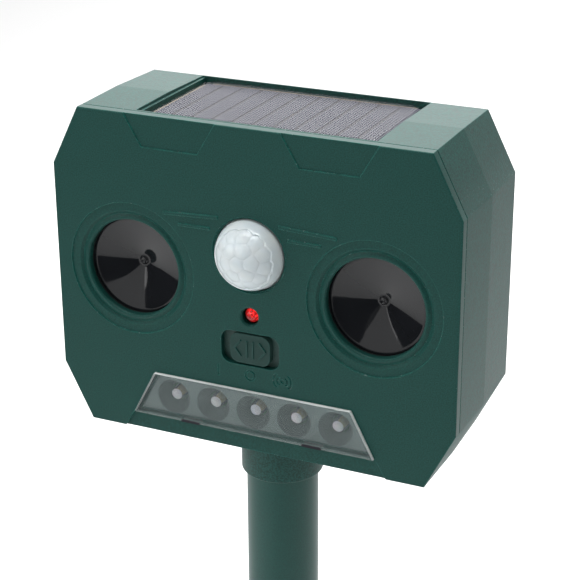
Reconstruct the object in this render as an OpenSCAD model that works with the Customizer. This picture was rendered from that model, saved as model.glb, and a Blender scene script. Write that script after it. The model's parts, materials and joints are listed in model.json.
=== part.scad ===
// Solar ultrasonic pest repeller on a ground stake.
// Origin on the stake's axis at ground level; +Z up, the head looks towards -Y. Millimetres.

/* [Head] */
// Width of the head
head_w = 145; // [143:1:150]
// Height of the head
head_h = 114; // [113:1:118]
// Depth of the head, front face to back face
head_d = 53; // [53:1:56]
// Corner cut, measured along the top and bottom edges
corner_x = 10.3; // [9.5:0.1:11]
// Corner cut, measured along the side edges
corner_z = 20.5; // [19:0.5:22]
// Wall thickness of both shells
wall = 2.2; // [2:0.1:2.4]
// Depth of the front cover's rim, face to seam
cover_rim = 3.5; // [3.4:0.1:4]
// How far the sides swell out at the middle of their depth
crest = 0.3; // [0:0.1:0.5]

/* [Stake] */
// Outer radius of the stake tubes
tube_r = 12.7; // [12.2:0.1:12.7]
// Wall thickness of the stake tubes
tube_wall = 1.5; // [1.2:0.1:1.8]
// Length of one stake tube above ground
tube_len = 110; // [90:5:160]
// Length of the ground spike
spike_len = 110; // [80:5:150]
// Visible length of the collar under the head
collar_len = 17.3; // [15:0.5:20]

/* [Speakers] */
// Distance of each speaker from the centre line
speaker_x = 43.8; // [43.5:0.1:44.5]
// Height of the speakers above the head's centre
speaker_z = 2.7; // [0:0.1:4]
// Radius of the mouth in the front cover
mouth_r = 17; // [16.5:0.1:17]

/* [Lamps] */
// Number of flash lamps
lamp_count = 5; // [3:2:5]
// Spacing of the flash lamps
lamp_pitch = 15.1; // [15:0.1:15.5]
// Height of the lamp row's centre line, below the head's centre
lamp_drop = 43; // [42.8:0.1:43.2]

/* [Sensor and switch] */
// Radius of the sensor's domed lens
dome_r = 12.2; // [11.8:0.1:12.2]
// Height of the dome above the head's centre
dome_z = 14.2; // [13:0.1:14.5]
// Height of the indicator lamp, relative to the head's centre
led_z = -7.4; // [-7.8:0.1:-7]
// Height of the mode switch, relative to the head's centre
switch_z = -19.15; // [-19.5:0.05:-19]
// Travel of the mode switch to each side of its middle position
switch_travel = 2.5; // [1.5:0.1:2.8]

/* [Hidden] */

eps = 0.01;
far = 200;
round_fn = 72;

// Depth of the stake's axis behind the front face, and the planes that follow from it
axis_depth = 25;
front_y = -axis_depth;
seam_y = front_y + cover_rim;
seam_gap = 0.3;
gasket_inset = 0.9;
shell_y = seam_y + seam_gap;
crest_y = 2;
back_y = front_y + head_d;
half_w = head_w / 2;
half_h = head_h / 2;
head_z = 2 * tube_len + collar_len + half_h;

// Front cover details, depths measured from the front face
plate_t = 2.4;
tongue_t = 1.2;
tongue_reach = 2;
fit_gap = 0.2;
ring_r = 23.3;
ring_step = 0.5;
valley_r = 20.4;
speaker_pad_depth = 3.2;
flange_r = 22.5;
speaker_screw_ring = 20.6;
dome_sink = 2.5;
dome_t = 0.8;
lens_flange_t = 0.8;
dome_ring_r = 13.1;
dome_ring_depth = 0.6;
led_sink_r = 3.6;
led_sink_depth = 0.6;
led_tip_depth = 0.1;
led_hole_r = 2.95;
rib_rise = 0.4;
recess_x = 28.2;
recess_depth = 0.4;
low_recess_depth = 1;
label_depth = 0.3;
label_drop = 28.5;
label_h = 4;
label_x = 11.8;
label_line = 0.65;
slot_w = 21.2;
slot_h = 11.9;
slot_corner = 3.5;
pad_w = 14.5;
pad_h = 10.6;
pad_corner = 3;
slider_plate_h = 15;
slider_plate_t = 1;

// Lamp window outline: heights below the head's centre and half-widths there
window_top = 34.3;
window_bottom = 50.5;
window_top_w = 36.3;
window_bottom_w = 44.7;
window_rise = 1.2;
window_seat = 1.2;
window_ledge = 1.2;
snap_x = 22.6;
snap_w = 7.4;
snap_t = 1.1;
cup_r = 6.2;
cup_throat_r = 3.1;
cup_rim_depth = 1.7;
cup_floor_depth = 6.4;
lamp_r = 2.5;
lamp_flange_r = 2.9;
lamp_tip_depth = 2.9;
lamp_board_depth = 11;
lamp_board_t = 1.2;
lamp_post_x = 38.5;
lamp_post_drop = 45.5;

// Circuit board behind the front cover
board_depth = 12;
board_t = 1.6;
board_w = 42;
board_low = -33;
board_high = 32;
board_post_x = 17.5;
board_post_low = -29.8;
board_post_high = 28.8;
board_back_y = front_y + board_depth + board_t;
lamp_board_back_y = front_y + lamp_board_depth + lamp_board_t;
cone_back_depth = 10.4;
piezo_plate_t = 0.3;
piezo_ceramic_t = 0.25;
piezo_back_y = front_y + cone_back_depth + piezo_plate_t + piezo_ceramic_t;
post_r = 2.4;
pilot_r = 0.82;
small_screw_r = 0.8;
small_head_r = 1.9;
small_head_t = 1.3;
wire_r = 0.6;
pin_reach = 1;
lamp_pin_x = 1.27;
sensor_pins = [[-1.8, 1.8], [1.8, 1.8], [-1.8, -1.8]];
switch_pin_xs = [-3.8, -1.3, 1.3, 3.8];
solder_gap = 0.15;
solder_run = 1.5;

// Long screws that close the head from behind
boss_x = 60;
boss_z = 38;
boss_r = 3.6;
rear_boss_r = 4.8;
boss_meet_y = 1;
long_screw_r = 1.25;
long_head_r = 3;
long_head_t = 2.2;
counterbore_y = 20;
long_screw_tip = 14;
long_pilot_start = 13;
screw_room = 0.4;

// Solar well in the top
well_half_w = 42.3;
well_step = 0.7;
well_step_drop = 1;
well_wall = 1;
well_front_y = shell_y + well_wall;
well_back_y = back_y - 1;
well_floor = half_h - 3.8;
well_base = 1.5;
panel_gap = 0.4;
panel_side_gap = 1.2;
panel_front_gap = 3.6;
panel_corner = 3;
solar_board_t = 1.2;
solar_cell_t = 0.3;
solar_resin_t = 1;
solar_cell_count = 11;
solar_cell_w = 5.9;
solar_cell_pitch = 7.3;
solar_margin = 1.4;
panel_front_y = well_front_y + panel_front_gap;
panel_back_y = well_back_y - panel_gap;
resin_inset = 0.3;

// Battery box, opening to the rear
cell_r = 7.1;
cell_len = 49.3;
nipple_r = 2.75;
nipple_len = 1.2;
cell_pitch = 15.6;
cell_y = 17.6;
box_mid_z = -5;
box_half_w = 29.5;
box_half_h = 24.4;
box_wall = 1.6;
box_front_y = 8;
door_t = 1.8;
door_ledge = 1.4;
door_gap = 0.4;
door_frame = 3;
door_frame_depth = 4;
grip_half_w = 12;
grip_pitch = 1.8;
contact_t = 0.4;
spring_wire = 0.35;
spring_wide_r = 4.6;
spring_narrow_r = 2.8;
spring_turns = 3;
spring_steps = 14;
contact_w = 11;
tail_w = 3;
tail_y = 5;
door_y = back_y - door_t;
door_half_w = box_half_w + door_ledge;
door_half_h = box_half_h + door_ledge;
grip_top = box_mid_z + door_half_h - 13;
pivot_y = back_y - door_t / 2;
pivot_z = head_z + box_mid_z - door_half_h;
pivot_r = 0.6;
pivot_len = 1.4;
pivot_gap = 0.05;

// Socket that turns on the stake
socket_r = 14.5;
socket_gap = 0.05;
socket_roof = -53.2;
tube_chamfer = 0.5;
spigot_len = 20;
spigot_gap = 0.05;
spigot_room = 5;
socket_play = 0.3;

// Cross-vaned spike; the shoulder is where its vanes start to taper, as a share of its length
spike_flange_t = 2;
vane_t = 2.6;
vane_inset = 0.6;
vane_shoulder = 0.35;
spike_tip_half_w = 1;

// Corner points of the head's outline, moved inwards by d
function outline(d) =
    let (slope = norm([corner_x, corner_z]))
    let (x = half_w - corner_x + d * (corner_x - slope) / corner_z)
    let (z = half_h - corner_z + d * (corner_z - slope) / corner_x)
    let (w = half_w - d)
    let (h = half_h - d)
    [[x, h], [w, z], [w, -z], [x, -h], [-x, -h], [-w, -z], [-w, z], [-x, h]];

// Corner points of the lamp window's outline, moved outwards by d
function window_outline(d) =
    let (run = (window_bottom_w - window_top_w) / (window_bottom - window_top))
    let (side = d * norm([1, run]))
    let (top_w = window_top_w + side - run * d)
    let (bottom_w = window_bottom_w + side + run * d)
    [[top_w, d - window_top], [bottom_w, -window_bottom - d],
     [-bottom_w, -window_bottom - d], [-top_w, d - window_top]];

// A flat shape in the head's X-Z plane, filled from y0 to y1
module slab(y0, y1) {
    translate([0, y1, head_z])
        rotate([90, 0, 0])
            linear_extrude(y1 - y0)
                children();
}

// The same, with depths measured from the front face
module face_slab(d0, d1) {
    slab(front_y + d0, front_y + d1)
        children();
}

// Places children at a point of the front face, with their +Z running back into the head
module at_face(x, z, depth = 0) {
    translate([x, front_y + depth, head_z + z])
        rotate([-90, 0, 0])
            children();
}

// A plain round bar running back from the front face
module bar(x, z, d0, d1, r) {
    at_face(x, z, d0)
        cylinder(h = d1 - d0, r = r, $fn = round_fn);
}

// A rectangle with round corners, centred
module round_rect(w, h, r) {
    union() {
        square([w - 2 * r, h], center = true);
        square([w, h - 2 * r], center = true);
        for (sx = [-1, 1], sz = [-1, 1])
            translate([sx * (w / 2 - r), sz * (h / 2 - r)])
                circle(r = r, $fn = round_fn);
    }
}

// Thin straight stroke between two points of the X-Z plane
module stroke(a, b, t) {
    run = b - a;
    translate(a)
        rotate(atan2(run[1], run[0]))
            translate([-t / 2, -t / 2])
                square([norm(run) + t, t]);
}

// Points of a smooth curve through a list of points
function bend(p, i, t) =
    let (n = len(p) - 1)
    let (a = p[max(i - 1, 0)])
    let (b = p[i])
    let (c = p[min(i + 1, n)])
    let (d = p[min(i + 2, n)])
    0.5 * (2 * b + (c - a) * t + (2 * a - 5 * b + 4 * c - d) * t * t
           + (3 * b - a - 3 * c + d) * t * t * t);
function smooth(p, steps) =
    concat([for (i = [0 : len(p) - 2], s = [0 : steps - 1]) bend(p, i, s / steps)], [p[len(p) - 1]]);

// Round tube of radius r along a list of points; side_axis is a direction that the path never takes
module tube_along(path, r, side_axis, sides = 8) {
    last = len(path) - 1;
    rings = [
        for (i = [0 : last])
            let (run = path[min(i + 1, last)] - path[max(i - 1, 0)])
            let (t = run / norm(run))
            let (u0 = cross(t, side_axis))
            let (u = u0 / norm(u0))
            let (v = cross(t, u))
            for (k = [0 : sides - 1])
                path[i] + r * (cos(360 * k / sides) * u + sin(360 * k / sides) * v)
    ];
    skin = [
        for (i = [0 : last - 1], k = [0 : sides - 1])
            let (next = (k + 1) % sides)
            [i * sides + k, i * sides + next, (i + 1) * sides + next, (i + 1) * sides + k]
    ];
    first_cap = [for (k = [sides - 1 : -1 : 0]) k];
    last_cap = [for (k = [0 : sides - 1]) last * sides + k];
    polyhedron(points = rings, faces = concat(skin, [first_cap, last_cap]), convexity = 6);
}

// Start of a lead: a straight run square to the face at face_y that it is soldered to, just clear of it
function lead_start(x, face_y, z, away = 1) =
    [for (k = [0 : 2]) [x, face_y + away * (solder_gap + k * solder_run), z]];

// End of a lead at a face, reached from behind
function lead_end(x, face_y, z) =
    [for (k = [2 : -1 : 0]) [x, face_y + solder_gap + k * solder_run, z]];

// A lead: smooth tube through points given from the head's centre
module lead(points, side_axis = [1, 0, 0]) {
    translate([0, 0, head_z])
        tube_along(smooth(points, 4), wire_r, side_axis);
}

// Position of each lamp, left to right
lamp_xs = [for (i = [0 : lamp_count - 1]) (i - (lamp_count - 1) / 2) * lamp_pitch];
speaker_screw_angles = [90, 210, 330];
board_posts = [for (x = [-board_post_x, board_post_x], z = [board_post_low, board_post_high]) [x, z]];
lamp_posts = [for (x = [-lamp_post_x, lamp_post_x]) [x, -lamp_post_drop]];
cell_rows = [-1, 0, 1];
cell_tip_x = box_half_w - contact_t;
cell_foot_x = cell_tip_x - nipple_len - cell_len;

// The middle cell points the other way, so that the three are in series
function cell_dir(row) = row == 0 ? -1 : 1;
function cell_z(row) = head_z + box_mid_z + row * cell_pitch;

// Trapezoid of the shallow recesses at the top edge of the face
module top_recess(x) {
    translate([x, 0])
        polygon([[-10.2, 46.1], [10.2, 46.1], [17.3, half_h + 1], [-17.3, half_h + 1]]);
}

// Recess that runs from the lamp window to the bottom edge
module bottom_recess() {
    polygon([[-45.2, -50.8], [45.2, -50.8], [49.5, -half_h - 1], [-49.5, -half_h - 1]]);
}

// Raised trim ribs beside the sensor
module trim_ribs() {
    for (side = [-1, 1]) {
        stroke([side * 11.4, 25.7], [side * 30.5, 24.7], 1.05);
        stroke([side * 14.5, 21.5], [side * 25, 21.4], 0.95);
    }
}

// The left and right quarters of a thin ring, like waves on both sides of a point
module wave_pair(r) {
    intersection() {
        difference() {
            circle(r = r + label_line / 2, $fn = round_fn);
            circle(r = r - label_line / 2, $fn = round_fn);
        }
        square([2 * r + 2, 1.4 * r], center = true);
    }
}

// Three position marks under the switch: a bar, a ring, and a point with waves
module position_marks() {
    translate([0, -label_drop]) {
        translate([-label_x, 0])
            square([label_line, label_h], center = true);
        difference() {
            circle(d = label_h, $fn = round_fn);
            circle(d = label_h - 2 * label_line, $fn = round_fn);
        }
        translate([label_x, 0]) {
            circle(r = label_line, $fn = round_fn);
            wave_pair(1.8);
            wave_pair(3.2);
        }
    }
}

// Stepped ring and mouth in front of one speaker
module speaker_mouth(x) {
    at_face(x, speaker_z)
        rotate_extrude($fn = round_fn)
            polygon([
                [0, -1], [ring_r, -1], [ring_r, ring_step], [valley_r, ring_step],
                [19.3, 1.5], [18.4, 0.95], [17.8, 0.8], [17.3, 0.95], [mouth_r, 1.4],
                [mouth_r, 6], [0, 6]
            ]);
}

module front_cover() {
    color([0.08, 0.25, 0.19])
        difference() {
            union() {
                difference() {
                    face_slab(0, cover_rim)
                        polygon(outline(0));
                    face_slab(plate_t, far)
                        polygon(outline(wall));
                }
                difference() {
                    face_slab(plate_t - eps, cover_rim + tongue_reach)
                        polygon(outline(wall + fit_gap));
                    face_slab(0, far)
                        polygon(outline(wall + fit_gap + tongue_t));
                    translate([0, seam_y + far / 2, head_z + half_h])
                        cube([2 * (well_half_w + 3), far, 16], center = true);
                }
                face_slab(-rib_rise, 1)
                    trim_ribs();
                for (side = [-1, 1])
                    bar(side * speaker_x, speaker_z, 1, speaker_pad_depth, flange_r + 1);
                for (x = [-boss_x, boss_x], z = [-boss_z, boss_z])
                    bar(x, z, 1, boss_meet_y - front_y, boss_r);
                for (p = board_posts)
                    bar(p[0], p[1], 1, board_depth, post_r);
            }
            for (side = [-1, 1]) {
                speaker_mouth(side * speaker_x);
                face_slab(-1, recess_depth)
                    top_recess(side * recess_x);
                for (a = speaker_screw_angles)
                    bar(side * speaker_x + speaker_screw_ring * cos(a),
                        speaker_z + speaker_screw_ring * sin(a), 1.8, 6, pilot_r);
            }
            for (x = [-boss_x, boss_x], z = [-boss_z, boss_z])
                bar(x, z, long_pilot_start, 30, long_screw_r + 0.03);
            for (p = board_posts)
                bar(p[0], p[1], 4, 30, pilot_r);
            bar(0, dome_z, -1, dome_ring_depth, dome_ring_r);
            bar(0, dome_z, -1, 6, dome_r + 0.3);
            at_face(0, led_z, -eps)
                cylinder(h = led_sink_depth, r1 = led_sink_r, r2 = led_hole_r, $fn = round_fn);
            bar(0, led_z, 0, 6, led_hole_r);
            face_slab(-1, 6)
                translate([0, switch_z])
                    round_rect(slot_w, slot_h, slot_corner);
            face_slab(-1, label_depth)
                position_marks();
            face_slab(-1, window_seat)
                polygon(window_outline(fit_gap));
            face_slab(-1, 6)
                polygon(window_outline(-window_ledge));
            face_slab(-1, low_recess_depth)
                bottom_recess();
            for (x = [-snap_x, snap_x])
                face_slab(-1, 6)
                    translate([x, snap_t / 2 - window_bottom])
                        square([snap_w, snap_t], center = true);
        }
}

// Shell body between two outlines, at y0 and y1
module swell(y0, d0, y1, d1) {
    hull() {
        slab(y0, y0 + eps)
            polygon(outline(d0));
        slab(y1 - eps, y1)
            polygon(outline(d1));
    }
}

// Box between two corners, in the head's own heights
module head_box(x0, x1, y0, y1, z0, z1) {
    translate([x0, y0, head_z + z0])
        cube([x1 - x0, y1 - y0, z1 - z0]);
}

module rear_housing() {
    color([0.09, 0.27, 0.21])
        difference() {
            union() {
                difference() {
                    union() {
                        swell(shell_y, 0, crest_y, -crest);
                        swell(crest_y, -crest, back_y, crest);
                    }
                    slab(shell_y - 1, back_y - wall)
                        polygon(outline(wall));
                }
                head_box(-well_half_w - well_wall, well_half_w + well_wall, shell_y, back_y - eps,
                         well_floor - well_base, half_h - 0.5);
                head_box(-box_half_w - box_wall, box_half_w + box_wall, box_front_y, back_y - 1,
                         box_mid_z - box_half_h - box_wall, box_mid_z + box_half_h + box_wall);
                head_box(-door_half_w - door_frame, door_half_w + door_frame,
                         back_y - door_frame_depth, back_y - 1,
                         box_mid_z - door_half_h - door_frame, box_mid_z + door_half_h + door_frame);
                for (x = [-boss_x, boss_x], z = [-boss_z, boss_z])
                    bar(x, z, boss_meet_y - front_y, head_d - 1, rear_boss_r);
                translate([0, 0, head_z - half_h - collar_len])
                    rotate_extrude($fn = round_fn)
                        polygon([
                            [0, 0], [socket_r - 0.8, 0], [socket_r - 0.25, 0.25], [socket_r, 0.8],
                            [socket_r, collar_len + half_h + socket_roof + 2],
                            [0, collar_len + half_h + socket_roof + 2]
                        ]);
            }
            translate([0, 0, head_z - half_h - collar_len - 1])
                cylinder(h = collar_len + half_h + socket_roof + 1, r = tube_r + socket_gap, $fn = round_fn);
            head_box(-well_half_w + well_step, well_half_w - well_step, well_front_y, well_back_y,
                     well_floor, far);
            head_box(-well_half_w, well_half_w, well_front_y, well_back_y, half_h - well_step_drop, far);
            head_box(-box_half_w, box_half_w, box_front_y + box_wall, far,
                     box_mid_z - box_half_h, box_mid_z + box_half_h);
            head_box(-door_half_w - door_gap, door_half_w + door_gap, door_y, far,
                     box_mid_z - door_half_h - door_t / 2 - door_gap, box_mid_z + door_half_h + door_gap);
            head_box(-7, 7, back_y - 3, far, box_mid_z + door_half_h - 1, box_mid_z + door_half_h + 5);
            translate([0, pivot_y, pivot_z])
                rotate([0, 90, 0])
                    cylinder(h = 2 * (door_half_w + pivot_len + 0.3), r = pivot_r + pivot_gap,
                             center = true, $fn = round_fn);
            for (x = [-boss_x, boss_x], z = [-boss_z, boss_z]) {
                bar(x, z, 0, head_d + 1, long_screw_r + screw_room);
                bar(x, z, counterbore_y - front_y, head_d + 1, long_head_r + screw_room);
            }
            head_box(-4, 4, 0, 6, well_floor - well_base - 1, well_floor + 1);
            for (side = [-1, 1])
                translate([side * (box_half_w - contact_t / 2), box_front_y + box_wall / 2,
                           cell_z(side)])
                    cube([contact_t + 0.4, box_wall + 2, tail_w + 0.4], center = true);
        }
}

module housing_gasket() {
    color([0.12, 0.12, 0.12])
        difference() {
            slab(seam_y, shell_y)
                polygon(outline(gasket_inset));
            slab(seam_y - 1, shell_y + 1)
                polygon(outline(wall - eps));
        }
}

module housing_screws() {
    color([0.6, 0.6, 0.62])
        for (x = [-boss_x, boss_x], z = [-boss_z, boss_z])
            difference() {
                union() {
                    bar(x, z, long_screw_tip, counterbore_y - front_y, long_screw_r);
                    bar(x, z, counterbore_y - front_y, counterbore_y - front_y + long_head_t, long_head_r);
                }
                at_face(x, z, counterbore_y - front_y + 1) {
                    translate([-2, -0.4, 0])
                        cube([4, 0.8, 4]);
                    translate([-0.4, -2, 0])
                        cube([0.8, 4, 4]);
                }
            }
}

// Outline of the solar panel seen from above, with its corners cut
module panel_outline(inset) {
    w = well_half_w - well_step - panel_side_gap - inset;
    y0 = panel_front_y + inset;
    y1 = panel_back_y - inset;
    c = panel_corner;
    polygon([
        [-w, y0], [w, y0], [w, y1 - c], [w - c, y1], [c - w, y1], [-w, y1 - c]
    ]);
}

module solar_board() {
    color([0.75, 0.66, 0.5])
        difference() {
            translate([0, 0, head_z + well_floor])
                linear_extrude(solar_board_t)
                    panel_outline(0);
            for (x = [-2, 2])
                translate([x, 3, head_z + well_floor - 1])
                    cylinder(h = 4, r = wire_r + 0.1, $fn = 24);
        }
}

module solar_cells() {
    color([0.18, 0.17, 0.19])
        for (i = [0 : solar_cell_count - 1])
            translate([(i - (solar_cell_count - 1) / 2) * solar_cell_pitch - solar_cell_w / 2,
                       panel_front_y + solar_margin, head_z + well_floor + solar_board_t])
                cube([solar_cell_w, panel_back_y - panel_front_y - 2 * solar_margin, solar_cell_t]);
}

module solar_resin() {
    color([0.3, 0.3, 0.34, 0.5])
        translate([0, 0, head_z + well_floor + solar_board_t + solar_cell_t])
            linear_extrude(solar_resin_t)
                panel_outline(resin_inset);
}

module solar_leads() {
    for (twin = [-2, 2])
        color(twin < 0 ? [0.1, 0.1, 0.1] : "red")
            lead(concat(
                [[twin, 3, well_floor + 1], [twin, 3, 46], [2 + twin, -1, 40],
                 [4 + twin, -6.5, 35], [6 + twin, -7.5, 29]],
                lead_end(6 + twin, board_back_y, 24)
            ));
}

module pir_lens() {
    color([0.93, 0.94, 0.93])
        difference() {
            union() {
                at_face(0, dome_z, dome_sink)
                    sphere(r = dome_r, $fn = round_fn);
                bar(0, dome_z, plate_t, plate_t + lens_flange_t, dome_ring_r + 1);
            }
            at_face(0, dome_z, dome_sink)
                sphere(r = dome_r - dome_t, $fn = round_fn);
            bar(0, dome_z, dome_sink, 20, dome_r - dome_t);
            bar(0, dome_z, plate_t + lens_flange_t, 20, dome_ring_r + 2);
        }
}

module pir_sensor() {
    color([0.7, 0.7, 0.72]) {
        difference() {
            union() {
                bar(0, dome_z, 7.6, 11.6, 4.1);
                bar(0, dome_z, 11.2, board_depth, 4.6);
            }
            face_slab(7, 8)
                translate([0, dome_z])
                    square([4, 3], center = true);
        }
        for (p = sensor_pins)
            bar(p[0], dome_z + p[1], board_depth, board_depth + board_t + pin_reach, 0.23);
    }
}

// Round-nosed lamp body with a flange and two legs
module lamp_body(x, z, tip, flange, foot) {
    at_face(x, z, tip + lamp_r)
        sphere(r = lamp_r, $fn = 48);
    bar(x, z, tip + lamp_r, flange, lamp_r);
    bar(x, z, flange, flange + 0.9, lamp_flange_r);
    for (side = [-1, 1])
        bar(x + lamp_pin_x * side, z, flange + 0.9, foot, 0.25);
}

module indicator_led() {
    color([0.85, 0.06, 0.08])
        lamp_body(0, led_z, led_tip_depth, 8.5, board_depth + board_t + pin_reach);
}

module switch_slider() {
    color([0.09, 0.2, 0.17])
        difference() {
            union() {
                face_slab(0, plate_t + fit_gap + slider_plate_t)
                    translate([0, switch_z])
                        round_rect(pad_w, pad_h, pad_corner);
                face_slab(plate_t + fit_gap, plate_t + fit_gap + slider_plate_t)
                    translate([0, switch_z])
                        square([slot_w + 2 * switch_travel + 0.8, slider_plate_h], center = true);
                face_slab(-0.4, 0.5)
                    translate([0, switch_z]) {
                        for (side = [-1, 1]) {
                            stroke([side * 1.1, -2.7], [side * 1.1, 2.7], 0.6);
                            stroke([side * 3.5, -2.7], [side * 5.6, 0], 0.6);
                            stroke([side * 3.5, 2.7], [side * 5.6, 0], 0.6);
                        }
                    }
                face_slab(3, 6.4)
                    translate([0, switch_z])
                        square([4.4, 4.4], center = true);
            }
            face_slab(4.2, 8)
                translate([0, switch_z])
                    square([2, 2], center = true);
        }
}

module switch_lever() {
    color([0.9, 0.9, 0.88]) {
        face_slab(4.2, 9)
            translate([0, switch_z])
                square([2, 2], center = true);
        face_slab(8.6, 9.6)
            translate([0, switch_z])
                square([4, 3.2], center = true);
    }
}

module switch_body() {
    color([0.66, 0.67, 0.68]) {
        difference() {
            face_slab(7, board_depth)
                translate([0, switch_z])
                    square([16, 7], center = true);
            face_slab(6, 8.3)
                translate([0, switch_z])
                    square([2 * switch_travel + 2.8, 2.6], center = true);
            face_slab(8.2, 9.9)
                translate([0, switch_z])
                    square([2 * switch_travel + 5, 4], center = true);
        }
        for (x = switch_pin_xs)
            bar(x, switch_z, board_depth, board_depth + board_t + pin_reach, 0.3);
    }
}

module lamp_window() {
    color([0.85, 0.9, 0.9, 0.4]) {
        difference() {
            face_slab(-window_rise, window_seat)
                polygon(window_outline(0));
            translate([0, front_y - window_rise, head_z - window_bottom])
                rotate([45, 0, 0])
                    cube([far, 0.8, 0.8], center = true);
        }
        for (x = [-snap_x, snap_x])
            face_slab(window_seat, plate_t)
                translate([x, snap_t / 2 - window_bottom])
                    square([snap_w - 0.4, snap_t - 0.4], center = true);
    }
}

module lamp_reflector() {
    color([0.5, 0.56, 0.54])
        difference() {
            union() {
                face_slab(cup_rim_depth, plate_t)
                    polygon(window_outline(-window_ledge - fit_gap));
                difference() {
                    face_slab(plate_t, plate_t + 1)
                        polygon(window_outline(1.5));
                    for (x = [-snap_x, snap_x])
                        face_slab(0, 6)
                            translate([x, -window_bottom])
                                square([snap_w + 1, 4 * snap_t], center = true);
                }
                for (x = lamp_xs)
                    bar(x, -lamp_drop, plate_t, cup_floor_depth, cup_r + 0.8);
                for (p = lamp_posts)
                    bar(p[0], p[1], plate_t, lamp_board_depth, post_r);
            }
            for (x = lamp_xs)
                at_face(x, -lamp_drop, cup_rim_depth - eps)
                    cylinder(h = cup_floor_depth - cup_rim_depth + 2 * eps, r1 = cup_r,
                             r2 = cup_throat_r, $fn = round_fn);
            for (p = lamp_posts)
                bar(p[0], p[1], 4, 20, pilot_r);
        }
}

module lamp_leds() {
    color([0.93, 0.93, 0.9])
        for (x = lamp_xs)
            lamp_body(x, -lamp_drop, lamp_tip_depth, lamp_board_depth - 0.9,
                      lamp_board_depth + lamp_board_t + pin_reach);
}

module lamp_board() {
    color([0.1, 0.35, 0.18])
        difference() {
            face_slab(lamp_board_depth, lamp_board_depth + lamp_board_t)
                translate([0, -lamp_drop - 1])
                    square([2 * lamp_post_x + 6, 11], center = true);
            for (p = lamp_posts)
                bar(p[0], p[1], 0, 20, small_screw_r + 0.2);
            for (x = lamp_xs, side = [-1, 1])
                bar(x + lamp_pin_x * side, -lamp_drop, 0, 20, 0.3);
        }
}

module lamp_leads() {
    for (side = [-1, 1])
        color(side < 0 ? "red" : "white")
            lead(concat(
                lead_start(side * 8 + 12, lamp_board_back_y, -46),
                [[side * 5 + 10, -6.5, -42], [side * 3 + 10, -6, -36], [side * 2 + 10, -6.8, -30]],
                lead_end(side * 2 + 10, board_back_y, -25.5)
            ));
}

module speaker_cone(side) {
    color([0.03, 0.03, 0.035])
        at_face(side * speaker_x, speaker_z)
            rotate_extrude($fn = round_fn)
                polygon([
                    [0, 8.4], [0.6, 8.4], [1, 8.1], [1.4, 8.6], [2, 8.75], [16, 4], [17.1, 4],
                    [17.1, 4.6], [16.2, 4.6], [2.2, 9.4], [1.6, 9.6],
                    [1.6, cone_back_depth], [0, cone_back_depth]
                ]);
}

module speaker_frame(side) {
    color([0.06, 0.06, 0.06])
        difference() {
            at_face(side * speaker_x, speaker_z)
                rotate_extrude($fn = round_fn)
                    polygon([
                        [17.2, speaker_pad_depth], [flange_r, speaker_pad_depth], [flange_r, 4.6],
                        [18.6, 4.6], [18.6, 14.8], [3, 14.8], [3, 13.6], [17.2, 13.6],
                        [17.2, 5.4], [16.4, 5.4], [16.4, 4.6], [17.2, 4.6]
                    ]);
            for (a = speaker_screw_angles)
                bar(side * speaker_x + speaker_screw_ring * cos(a),
                    speaker_z + speaker_screw_ring * sin(a), 0, 10, small_screw_r + 0.2);
        }
}

module speaker_piezo(side) {
    color([0.78, 0.63, 0.3])
        bar(side * speaker_x, speaker_z, cone_back_depth, cone_back_depth + piezo_plate_t, 10);
    color([0.85, 0.85, 0.82])
        bar(side * speaker_x, speaker_z, cone_back_depth + piezo_plate_t,
            cone_back_depth + piezo_plate_t + piezo_ceramic_t, 7.5);
}

// Pan-head screw driven towards the front face
module small_screw(x, z, seat, reach) {
    difference() {
        union() {
            bar(x, z, seat - reach, seat, small_screw_r);
            bar(x, z, seat, seat + small_head_t, small_head_r);
        }
        at_face(x, z, seat + 0.6) {
            translate([-1.2, -0.25, 0])
                cube([2.4, 0.5, 2]);
            translate([-0.25, -1.2, 0])
                cube([0.5, 2.4, 2]);
        }
    }
}

module speaker_screws() {
    color([0.6, 0.6, 0.62])
        for (side = [-1, 1], a = speaker_screw_angles)
            small_screw(side * speaker_x + speaker_screw_ring * cos(a),
                        speaker_z + speaker_screw_ring * sin(a), 4.6, 2.6);
}

module speaker_leads() {
    for (side = [-1, 1], twin = [-1, 1])
        color(twin < 0 ? "red" : [0.1, 0.1, 0.1])
            lead(concat(
                lead_start(side * (speaker_x + twin * 1.2), piezo_back_y, speaker_z),
                [[side * (speaker_x + twin * 1.2), -8, speaker_z],
                 [side * (40 + twin * 0.8), -5 + twin * 0.8, 2],
                 [side * 32, -5 + twin * 1.2, 0], [side * 24, -5.5 + twin * 1.2, -2 + twin],
                 [side * 19.5, -6.8, -3 + twin * 1.5]],
                lead_end(side * 17, board_back_y, -3 + twin * 1.5)
            ), [0, 0, 1]);
}

module main_board() {
    color([0.1, 0.35, 0.18])
        difference() {
            face_slab(board_depth, board_depth + board_t)
                translate([-board_w / 2, board_low])
                    square([board_w, board_high - board_low]);
            for (p = board_posts)
                bar(p[0], p[1], 0, 30, small_screw_r + 0.2);
            for (p = sensor_pins)
                bar(p[0], dome_z + p[1], 0, 30, 0.3);
            for (x = switch_pin_xs)
                bar(x, switch_z, 0, 30, 0.38);
            for (side = [-1, 1])
                bar(lamp_pin_x * side, led_z, 0, 30, 0.3);
        }
}

module controller_chip() {
    top = board_depth + board_t;
    color([0.1, 0.1, 0.11])
        face_slab(top + 0.4, top + 2)
            translate([-8, 8])
                square([8, 10], center = true);
    color([0.7, 0.7, 0.72])
        for (i = [0 : 6], side = [-1, 1])
            face_slab(top, top + 0.9)
                translate([-8 + side * 4.7, 8 + (i - 3) * 1.27])
                    square([1.4, 0.45], center = true);
}

module capacitors() {
    top = board_depth + board_t;
    color([0.15, 0.2, 0.4]) {
        bar(14, 14, top, top + 11, 4);
        bar(-13, -14, top, top + 9, 3.2);
    }
}

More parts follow.
